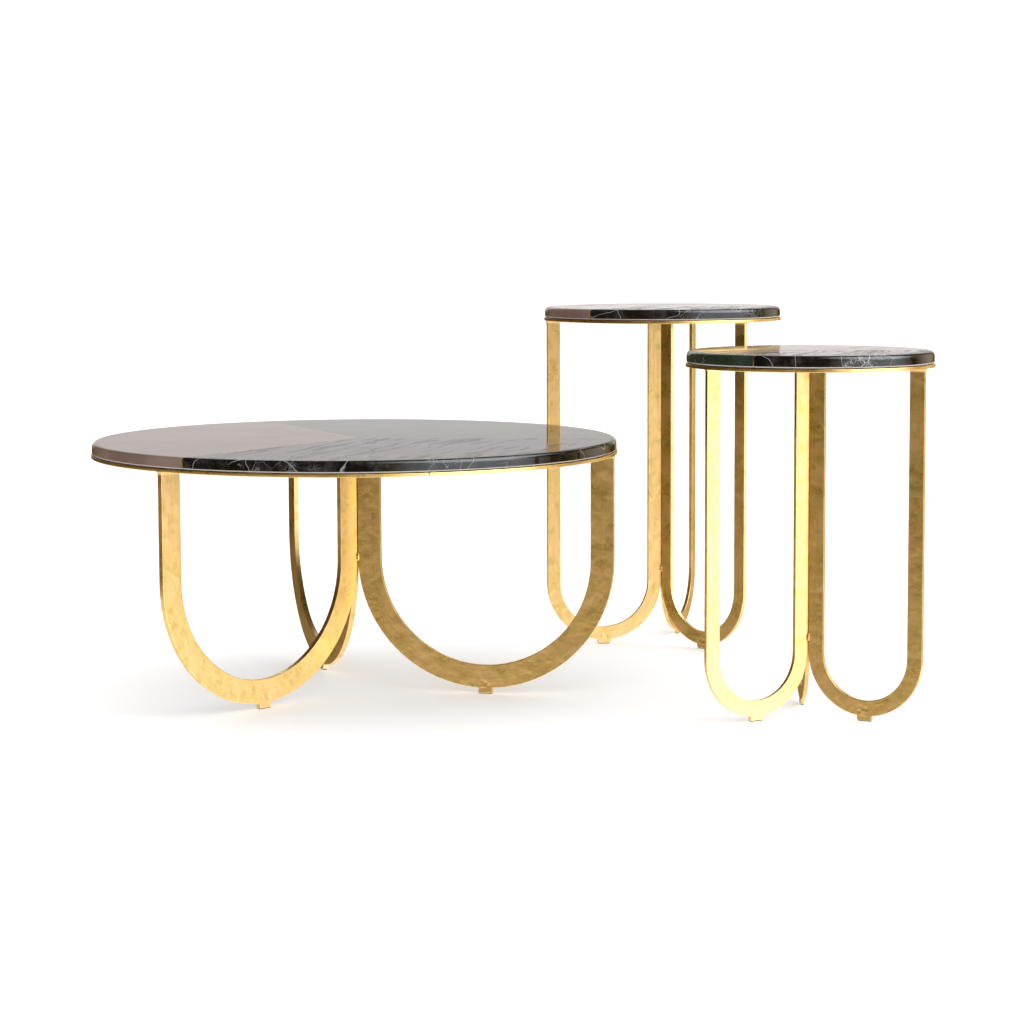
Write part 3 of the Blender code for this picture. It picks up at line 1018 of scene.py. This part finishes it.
@dataclass
class Stand:
    """Three loops of flat bar with their foot tabs and glides, and the weld between them."""

    plan: Plan
    ease: float = 0.7 * MM
    pitch: float = 1.9 * MM             # of the points across the bar
    weld_rise: float = 6.0 * MM         # height of the weld fillet under the hoop
    weld_flare: float = 1.8 * MM        # its reach
    foot_width: float = 25.0 * MM
    foot_fillet: float = 2.6 * MM
    foot_corner: float = 1.4 * MM
    glide_thickness: float = 1.2 * MM
    glide_inset: float = 0.8 * MM       # of a glide from its tab's sides
    pit_radius: float = 1.7 * MM
    bead_radius: float = 2.3 * MM
    bead_half: float = 7.0 * MM         # half height of a bead

    def stations(self) -> np.ndarray:
        """Distances along a loop: closer at the welds, round the bend and at the foot.

        Returns:
            The distances in rising order, from the outer leg's end.
        """
        plan = self.plan
        straight = plan.hoop_bottom - plan.bend_height
        bend = math.pi * self.line_radius
        total = 2 * straight + bend
        weld = self.weld_rise * np.linspace(0.0, 1.2, 10) ** 1.4
        legs = np.arange(8 * MM, straight, 3.2 * MM)
        curve = np.linspace(straight, straight + bend, round(bend / (2.6 * MM)))
        foot = total / 2 + np.arange(-18 * MM, 18 * MM, 1.2 * MM)
        curve = curve[np.abs(curve - total / 2) > 18.5 * MM]
        return np.sort(np.concatenate([weld, total - weld, legs, total - legs, curve, foot]))

    @property
    def line_radius(self) -> float:
        """Radius of the bend along the middle of the bar."""
        return self.plan.bend_radius - self.plan.bar_width / 2

    def loop(self, number: int) -> Surface:
        """An eased rectangle carried down the outer leg, round the bend and up the inner leg.

        With t = clip((s - straight) / r, 0, pi), the middle line is at r cos t outwards and
        -r sin t in height from the bend's centre, plus what is left of the straight legs, and
        (cos t, -sin t) points away from the opening. The relief and the pits then move each
        point along the section's normal.

        Args:
            number: which loop, 0 to 2.

        Returns:
            The bar, with flat ends.
        """
        plan = self.plan
        section = eased_rectangle(plan.bar_width, plan.bar_thickness, self.ease, self.pitch)
        normals = outline_normals(section)
        run = self.stations()
        straight = plan.hoop_bottom - plan.bend_height
        bend = math.pi * self.line_radius
        turn = np.clip((run - straight) / self.line_radius, 0.0, math.pi)
        beyond = np.maximum(straight - run, 0.0) + np.maximum(run - straight - bend, 0.0)
        out = np.column_stack([np.cos(turn), -np.sin(turn)])
        line = self.line_radius * out + np.array([plan.loop_middle, plan.bend_height])
        line[:, 1] += beyond
        flat = line[:, None] + section[None, :, 0:1] * out[:, None]
        sideways = np.broadcast_to(section[None, :, 1:2], (*flat.shape[:2], 1))
        grid = np.concatenate([flat, sideways], axis=2)
        points = plan.upright(grid, plan.loop_angle(number))
        relief = self.relief(points, run)
        relief += self.pits(run - run[-1] / 2, section, normals, number)
        push = np.concatenate([normals[None, :, 0:1] * out[:, None],
                               np.broadcast_to(normals[None, :, 1:2], sideways.shape)], axis=2)
        moved = plan.upright(grid + relief[..., None] * push, plan.loop_angle(number))
        return Surface(moved, run, perimeter(section))

    def relief(self, points: np.ndarray, run: np.ndarray) -> np.ndarray:
        """Shallow dents from hammering, and a weld fillet at both ends.

        The dents are smooth noise at three scales. With x going from 0 to 1 over the last few
        millimetres up to the hoop, the fillet is f (1 - sqrt(1 - x^2)), made lumpy by noise.

        Args:
            points: the smooth bar, shape (rows, columns, 3).
            run: distance along the bar, shape (rows,).

        Returns:
            Relief in metres, shape (rows, columns).
        """
        seed = self.plan.seed
        dents = (0.11 * MM * smooth_noise(points, 17 * MM, seed + 2)
                 + 0.05 * MM * smooth_noise(points, 8 * MM, seed + 3)
                 + 0.16 * MM * smooth_noise(points, 110 * MM, seed + 4))
        part = np.clip(1 - np.minimum(run, run[-1] - run) / self.weld_rise, 0.0, 1.0)
        fillet = self.weld_flare * (1 - np.sqrt(1 - part**2))
        lumps = 1 + 0.35 * smooth_noise(points, 5 * MM, seed + 5)
        return dents + fillet[:, None] * lumps

    def pits(self, run: np.ndarray, section: np.ndarray, normals: np.ndarray,
             number: int) -> np.ndarray:
        """Small dents and one bead over the foot, each a bell, on both faces of the bar.

        Args:
            run: distance along the bar from its lowest point, shape (rows,).
            section: outline of the bar.
            normals: the outline's outward normals.
            number: the loop, which picks the places.

        Returns:
            Relief in metres, shape (rows, columns).
        """
        places = np.random.default_rng(self.plan.seed * 10 + number)
        relief = np.zeros((len(run), len(section)))
        for depth in (-0.5 * MM, -0.4 * MM, 0.3 * MM, -0.25 * MM):
            along = places.uniform(-9 * MM, 9 * MM)
            across = self.plan.bar_width / 2 - places.uniform(2 * MM, 13 * MM)
            gap = np.hypot(run[:, None] - along, section[None, :, 0] - across)
            relief += depth * bell(gap, self.pit_radius)
        return relief * (np.abs(normals[:, 1]) > 0.9)

    def foot(self, number: int) -> Surface:
        """A tab under the loop's lowest point, from a plate outline.

        The bottom corners are quarter circles, and the sides flare into the loop along a
        quarter circle. The top edge stays inside the bar.

        Args:
            number: which loop, 0 to 2.

        Returns:
            The tab.
        """
        plan = self.plan
        half, corner, fillet = self.foot_width / 2, self.foot_corner, self.foot_fillet
        bottom = self.glide_thickness
        rim = plan.bend_height - math.sqrt(plan.bend_radius**2 - (half + fillet) ** 2)
        turn = np.linspace(0.0, math.pi / 2, 6)
        rounded = np.column_stack([half - corner + corner * np.sin(turn),
                                   bottom + corner - corner * np.cos(turn)])
        flare = np.column_stack([half + fillet * (1 - np.cos(turn)),
                                 rim - fillet + fillet * np.sin(turn) + 0.1 * MM])
        inside = np.array([[half + fillet, rim + 2 * MM], [half * 0.6, rim + 6 * MM],
                           [half * 0.2, rim + 7 * MM]])
        right = np.concatenate([rounded, flare, inside])
        outline = np.concatenate([right, right[::-1] * np.array([-1.0, 1.0])])
        grid = plate(outline, plan.bar_thickness - 0.3 * MM, 0.5 * MM)
        points = plan.upright(grid + np.array([plan.loop_middle, 0.0, 0.0]),
                              plan.loop_angle(number))
        points += 0.12 * MM * smooth_noise(points, 6 * MM, plan.seed + 6)[..., None]
        return Surface(points, np.arange(len(grid)) * MM, perimeter(outline))

    def glide(self, number: int) -> Surface:
        """A thin pad with round corners under a foot tab.

        Args:
            number: which loop, 0 to 2.

        Returns:
            The pad.
        """
        plan = self.plan
        outline = eased_rectangle(self.foot_width - 2 * self.glide_inset,
                                  plan.bar_thickness - 2 * self.glide_inset, 1.2 * MM, 2 * MM)
        grid = plate(outline, self.glide_thickness, 0.25 * MM)[..., [0, 2, 1]]
        points = plan.upright(grid + np.array([plan.loop_middle, self.glide_thickness / 2, 0.0]),
                              plan.loop_angle(number))
        return Surface(points, np.arange(len(grid)) * MM, perimeter(outline))

    def bead(self, number: int) -> Surface:
        """A run of weld in the groove between two inner legs.

        An upright spindle: at height h, from -1 to 1, its radius is r sqrt(1 - h^2), made
        uneven by a sine and by noise.

        Args:
            number: the loop on its clockwise side, 0 to 2.

        Returns:
            The spindle.
        """
        plan = self.plan
        share = np.concatenate([[-0.999], np.linspace(-0.97, 0.97, 22), [0.999]])
        angle = np.linspace(0.0, 2 * math.pi, 24, endpoint=False)
        height = share[:, None]
        swell = self.bead_radius * np.sqrt(1 - height**2) * (1 + 0.12 * np.sin(9 * height))
        groove = plan.bar_thickness / 2 / math.sin(THIRD / 2) + 1.5 * MM
        grid = np.stack([groove + swell * np.cos(angle),
                         plan.bend_height + plan.tie_rise + self.bead_half * height
                         + np.zeros(angle.shape),
                         swell * np.sin(angle)], axis=-1)
        points = plan.upright(grid, plan.loop_angle(number) + THIRD / 2)
        points += 0.35 * MM * smooth_noise(points, 3 * MM, plan.seed + 7 + number)[..., None]
        return Surface(points, share * self.bead_half, np.arange(25) * MM)

    def build(self, finishes: Finishes) -> None:
        """Makes and dresses the loops, tabs, glides and the weld at the centre.

        Args:
            finishes: the set's finishes.
        """
        plan = self.plan
        for number in range(3):
            loop = self.loop(number).build(f"{plan.name}_brass_loop_{number + 1}")
            plan.dress(loop, finishes.brass, "brass", plan.node(f"loop_{number + 1}"))
            foot = self.foot(number).build(f"{plan.name}_foot_tab_{number + 1}")
            plan.dress(foot, finishes.brass, "brass", plan.node(f"foot_{number + 1}"))
            glide = self.glide(number).build(f"{plan.name}_felt_glide_{number + 1}")
            plan.dress(glide, finishes.felt, "glide", plan.node(f"glide_{number + 1}"))
        beads = [self.bead(number).build("bead", 60.0) for number in range(3)]
        plan.dress(merged(f"{plan.name}_centre_weld", beads), finishes.brass, "brass",
                   plan.node("centre_tie"))


@dataclass
class Table:
    """One whole table."""

    plan: Plan

    def build(self, finishes: Finishes) -> None:
        """Builds the sub-assemblies from the top down.

        Args:
            finishes: the set's finishes.
        """
        StoneTop(self.plan).build(finishes)
        TopFrame(self.plan).build(finishes)
        Stand(self.plan).build(finishes)


# ------------------------------------------------------------------ studio

@dataclass(frozen=True)
class SoftBox:
    """A large rectangular light that mirrors and the camera don't see."""

    name: str
    at: tuple[float, float, float]
    aim: tuple[float, float, float]
    size: tuple[float, float]
    brightness: float                   # radiance of its face

    def build(self) -> None:
        """Adds the light; its power is pi times its area times its brightness."""
        light = bpy.data.lights.new(self.name, "AREA")
        light.shape = "RECTANGLE"
        light.size, light.size_y = self.size
        light.energy = math.pi * self.size[0] * self.size[1] * self.brightness
        lamp = bpy.data.objects.new(self.name, light)
        lamp.location = self.at
        lamp.rotation_mode = "QUATERNION"
        lamp.rotation_quaternion = (Vector(self.aim) - Vector(self.at)).to_track_quat("-Z", "Y")
        lamp.visible_camera = lamp.visible_glossy = False
        bpy.context.scene.collection.objects.link(lamp)


@dataclass(frozen=True)
class Glow:
    """A round soft light in the distance, as shiny surfaces see it."""

    azimuth: float                      # degrees from +X
    height: float                       # degrees above the horizon
    edge: float                         # cosine of the angle from its middle where it ends
    level: float

    def way(self) -> tuple[float, float, float]:
        """Unit vector toward it."""
        azimuth, height = math.radians(self.azimuth), math.radians(self.height)
        return (math.cos(height) * math.cos(azimuth), math.cos(height) * math.sin(azimuth),
                math.sin(height))


@dataclass
class Studio:
    """A white room with a pale floor, soft lights and the camera."""

    camera_at: tuple[float, float, float] = (0.01763, -4.52037, 0.79192)
    pitch: float = 5.3146               # degrees below the horizon
    roll: float = -0.217
    lens: float = 89.41
    shift: float = -0.04192
    white: float = 1.08                 # brightness of the room, as matt surfaces see it
    glows: tuple[Glow, ...] = (         # and as shiny surfaces see its parts
        Glow(-33.0, 0.0, 0.67, 2.0),
        Glow(-16.0, 46.0, 0.74, 6.0),
        Glow(40.0, 6.0, 0.88, 0.9),
    )
    front: float = 0.11                 # brightness toward the front
    dim: float = 0.05                   # and toward the back
    below: float = 1.1                  # and toward the ground
    warm: Colour = (1.0, 0.60, 0.06)    # colour of the dim parts
    tinge: Colour = (1.0, 0.95, 0.93)   # and of the bright parts
    lights: tuple[SoftBox, ...] = (
        SoftBox("key", (2.6, -2.2, 1.9), (0.2, 0.0, 0.3), (2.2, 2.2), 1.6),
    )

    def camera(self) -> None:
        """Adds the camera: level at 90 degrees, pitched down, then rolled about its axis."""
        data = bpy.data.cameras.new("camera")
        data.lens, data.shift_y = self.lens, self.shift
        camera = bpy.data.objects.new("camera", data)
        tilt = Matrix.Rotation(math.radians(90 - self.pitch), 4, "X")
        camera.matrix_world = (Matrix.Translation(self.camera_at) @ tilt
                               @ Matrix.Rotation(math.radians(self.roll), 4, "Z"))
        bpy.context.scene.collection.objects.link(camera)
        bpy.context.scene.camera = camera

    def floor(self) -> None:
        """Adds a wide matt floor."""
        half = 60.0
        mesh = bpy.data.meshes.new("floor")
        mesh.from_pydata([(-half, -half, 0), (half, -half, 0), (half, half, 0), (-half, half, 0)],
                         [], [(0, 1, 2, 3)])
        floor = bpy.data.objects.new("floor", mesh)
        graph = Finish("pale_floor")
        soft = graph.noise(graph.place, 1.5)
        graph.set(Base_Color=graph.blend(soft, (0.90, 0.90, 0.90), (0.92, 0.92, 0.92)),
                  Roughness=0.9, Specular_IOR_Level=0.1, Emission_Color=(1.0, 1.0, 1.0, 1.0),
                  Emission_Strength=0.3)
        mesh.materials.append(graph.material)
        floor.visible_glossy = False
        bpy.context.scene.collection.objects.link(floor)

    def sheen(self, graph: Graph) -> tuple[bpy.types.NodeSocket, bpy.types.NodeSocket]:
        """The room that shiny surfaces see: dim and warm, with soft lights.

        The lights stand to the right and front. The front is a little lighter than the back,
        the ground is light, and a white wall stands behind the tables. The dimmer a direction
        is, the warmer it is.

        Args:
            graph: the world's nodes.

        Returns:
            Colour and brightness in each direction.
        """
        way = graph.add("ShaderNodeTexCoord").outputs["Generated"]
        x, y, z = graph.add("ShaderNodeSeparateXYZ", {0: way}).outputs
        level = graph.math("ADD", graph.fade(y, 0.1, -0.9, self.dim, self.front),
                           graph.fade(z, -0.13, -0.30, 0.0, self.below))
        for glow in self.glows:
            near = graph.add("ShaderNodeVectorMath", {0: way, 1: glow.way()},
                             operation="DOT_PRODUCT").outputs["Value"]
            level = graph.math("ADD", level, graph.fade(near, glow.edge, 1.0, 0.0, glow.level))
        aside = graph.math("ABSOLUTE", x)
        wall = graph.math("ADD", graph.fade(z, 0.03, 0.09, 0.90, 0.60),
                          graph.fade(z, 0.10, 0.30, 0.0, 0.4))
        for edge in (graph.fade(aside, 0.45, 0.25), graph.fade(y, 0.05, 0.3),
                     graph.fade(z, -0.02, 0.01), graph.fade(z, 0.8, 0.5)):
            wall = graph.math("MULTIPLY", wall, edge)
        pale = graph.math("MAXIMUM", graph.fade(level, 0.2, 1.4), graph.fade(wall, 0.0, 0.3))
        return graph.blend(pale, self.warm, self.tinge), graph.math("ADD", level, wall)

    def room(self) -> None:
        """White all round to the camera and to matt surfaces; shiny ones see its sheen."""
        world = bpy.data.worlds.new("room")
        bpy.context.scene.world = world
        world.use_nodes = True
        world.cycles.sampling_method = "NONE"
        graph = Graph(world.node_tree)
        tint, level = self.sheen(graph)
        shiny = graph.add("ShaderNodeLightPath").outputs["Is Glossy Ray"]
        back = graph.tree.nodes["Background"]
        graph.tree.links.new(graph.blend(shiny, (1.0, 1.0, 1.0), tint), back.inputs["Color"])
        strength = graph.add("ShaderNodeMix", {0: shiny, 2: self.white, 3: level})
        graph.tree.links.new(strength.outputs[0], back.inputs["Strength"])

    def build(self) -> None:
        """Sets up the room, lights, camera and display."""
        self.room()
        self.floor()
        self.camera()
        for light in self.lights:
            light.build()
        bpy.context.scene.view_settings.view_transform = "Standard"


PLANS: tuple[Plan, ...] = (
    Plan(name="coffee", bar_width=40 * MM, bar_thickness=9 * MM, first_loop=229.5,
         first_seam=116.0, stones=(Stone.TAUPE, Stone.BLACK, Stone.GREEN), tie_rise=0.0,
         hoop_weld=288.0, arm_width=30 * MM, hub_radius=45 * MM, seed=11),
    Plan(name="tall", bar_width=25.5 * MM, bar_thickness=6.5 * MM, first_loop=190.0,
         first_seam=110.5, stones=(Stone.TAUPE, Stone.BLACK, Stone.GREEN), tie_rise=25 * MM,
         hoop_weld=261.0, arm_width=22 * MM, hub_radius=32 * MM, seed=31),
    Plan(name="low", bar_width=25.5 * MM, bar_thickness=6.5 * MM, first_loop=208.8,
         first_seam=117.4, stones=(Stone.GREEN, Stone.BLACK, Stone.TAUPE), tie_rise=23 * MM,
         hoop_weld=257.0, arm_width=22 * MM, hub_radius=32 * MM, seed=51),
)


def main() -> None:
    """Builds the tables and the studio around them."""
    logging.basicConfig(level=logging.INFO, format="%(name)s %(message)s")
    Studio().build()
    finishes = Finishes()
    for plan in PLANS:
        Table(plan).build(finishes)


if __name__ == "__main__":
    main()
